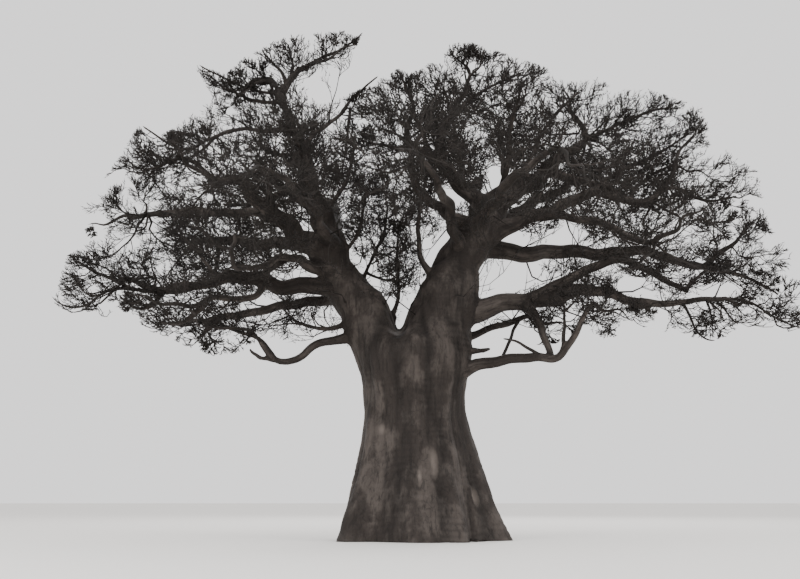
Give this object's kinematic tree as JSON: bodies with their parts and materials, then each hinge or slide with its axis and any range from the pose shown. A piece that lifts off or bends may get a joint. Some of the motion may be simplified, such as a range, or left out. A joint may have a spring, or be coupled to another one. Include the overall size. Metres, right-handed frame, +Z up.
{
  "type": "bare baobab tree",
  "caption": "Leafless baobab tree: a swollen waisted trunk on a flat ground-level cut forks into two great stems with spreading tapering boughs and masses of bare twigs.",
  "frame": {"origin": "middle of the flat cut at ground level, under the trunk", "axes": "+Z up the trunk; -X to the left of the tree as pictured; -Y towards the viewer of the picture"},
  "size_m": [25.9389, 21.5219, 18.1785],
  "materials": {
    "bark": "matt grey-brown folded bark",
    "twig_bark": "dry matt twig bark"
  },
  "bodies": {
    "root": {"trunk": "bark", "stem_left": "bark", "stem_right": "bark", "bough_centre": "bark", "bough_left_back": "bark", "bough_left_broad": "bark", "bough_left_crest": "bark", "bough_left_front": "bark", "bough_left_high": "bark", "bough_left_inner": "bark", "bough_left_long": "bark", "bough_left_low": "bark", "bough_left_near": "bark", "bough_left_rear": "bark", "bough_left_swoop": "bark", "bough_left_top": "bark", "bough_left_under": "bark", "bough_middle_front": "bark", "bough_right_arch": "bark", "bough_right_back": "bark", "bough_right_broad": "bark", "bough_right_crown": "bark", "bough_right_front": "bark", "bough_right_inner": "bark", "bough_right_long": "bark", "bough_right_low": "bark", "bough_right_near": "bark", "bough_right_peak": "bark", "bough_right_rear": "bark", "bough_right_swoop": "bark", "bough_right_under": "bark", "twigs_centre": "twig_bark", "twigs_left_back": "twig_bark", "twigs_left_broad": "twig_bark", "twigs_left_crest": "twig_bark", "twigs_left_front": "twig_bark", "twigs_left_high": "twig_bark", "twigs_left_inner": "twig_bark", "twigs_left_long": "twig_bark", "twigs_left_low": "twig_bark", "twigs_left_near": "twig_bark", "twigs_left_rear": "twig_bark", "twigs_left_swoop": "twig_bark", "twigs_left_top": "twig_bark", "twigs_left_under": "twig_bark", "twigs_middle_front": "twig_bark", "twigs_right_back": "twig_bark", "twigs_right_broad": "twig_bark", "twigs_right_crown": "twig_bark", "twigs_right_front": "twig_bark", "twigs_right_inner": "twig_bark", "twigs_right_long": "twig_bark", "twigs_right_low": "twig_bark", "twigs_right_near": "twig_bark", "twigs_right_peak": "twig_bark", "twigs_right_rear": "twig_bark", "twigs_right_swoop": "twig_bark", "twigs_right_under": "twig_bark", "twigs_stem_left": "twig_bark", "twigs_stem_right": "twig_bark"}
  },
  "joints": []
}
